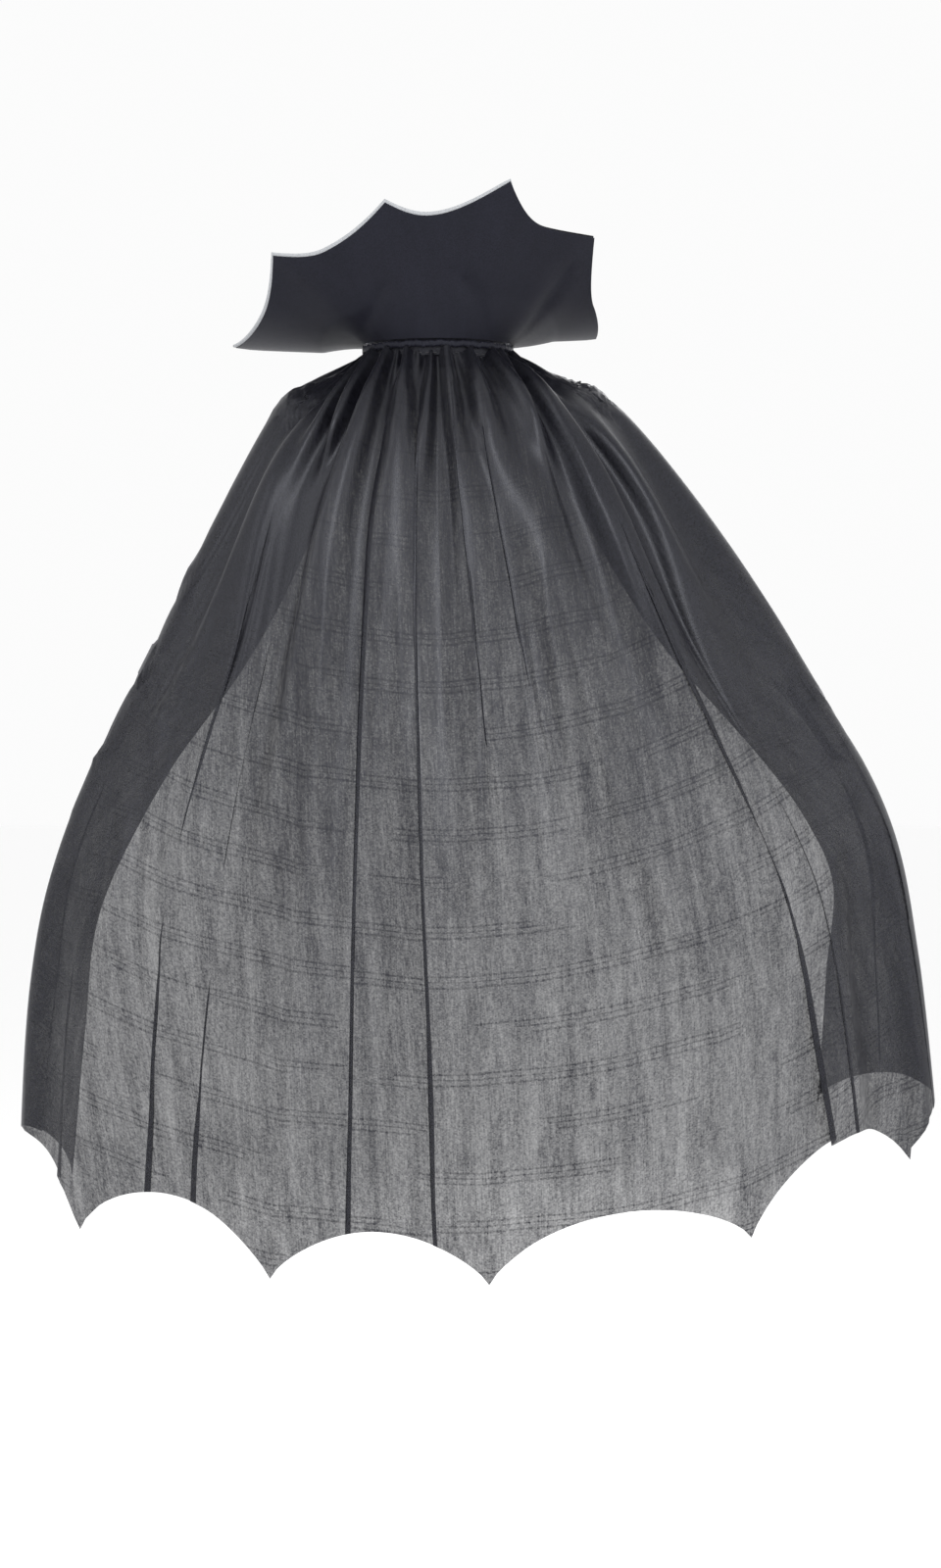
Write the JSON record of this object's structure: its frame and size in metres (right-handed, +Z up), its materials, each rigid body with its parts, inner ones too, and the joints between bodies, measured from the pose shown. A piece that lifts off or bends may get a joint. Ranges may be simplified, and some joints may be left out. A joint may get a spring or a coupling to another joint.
{
  "type": "child's collared cape",
  "caption": "Sheer draped cape panel with a scalloped hem under a stiff stand-up pointed collar, closed at the neck by a hook and loop tab.",
  "frame": {"origin": "centre of the neck opening, at mid height of the neck band", "axes": "+Z up along the neck, +Y the way the wearer faces, +X the wearer's right"},
  "size_m": [0.7942, 0.2194, 0.9442],
  "materials": {
    "sheer_satin": "satin",
    "collar_cloth": "matte",
    "foam": "matte",
    "black_tape": "matte",
    "hook_tape": "satin",
    "loop_tape": "matte",
    "thread": "satin"
  },
  "bodies": {
    "cape": {"cape_panel": "sheer_satin", "collar_face": "collar_cloth", "collar_core": "foam", "collar_lining": "collar_cloth", "neck_band": "black_tape", "neck_binding": "collar_cloth", "tab_anchor": "black_tape", "loop_strip": "loop_tape", "neck_stitches": "thread", "tab_stitches": "thread"},
    "tab": {"closure_tab": "black_tape", "hook_strip": "hook_tape"}
  },
  "joints": [
    {"name": "tab_open", "type": "hinge", "parent": "cape", "child": "tab", "pos_m": [-0.03155, 0.05751, 0], "axis": [0, 0, 1], "range_deg": [0, 120]}
  ]
}
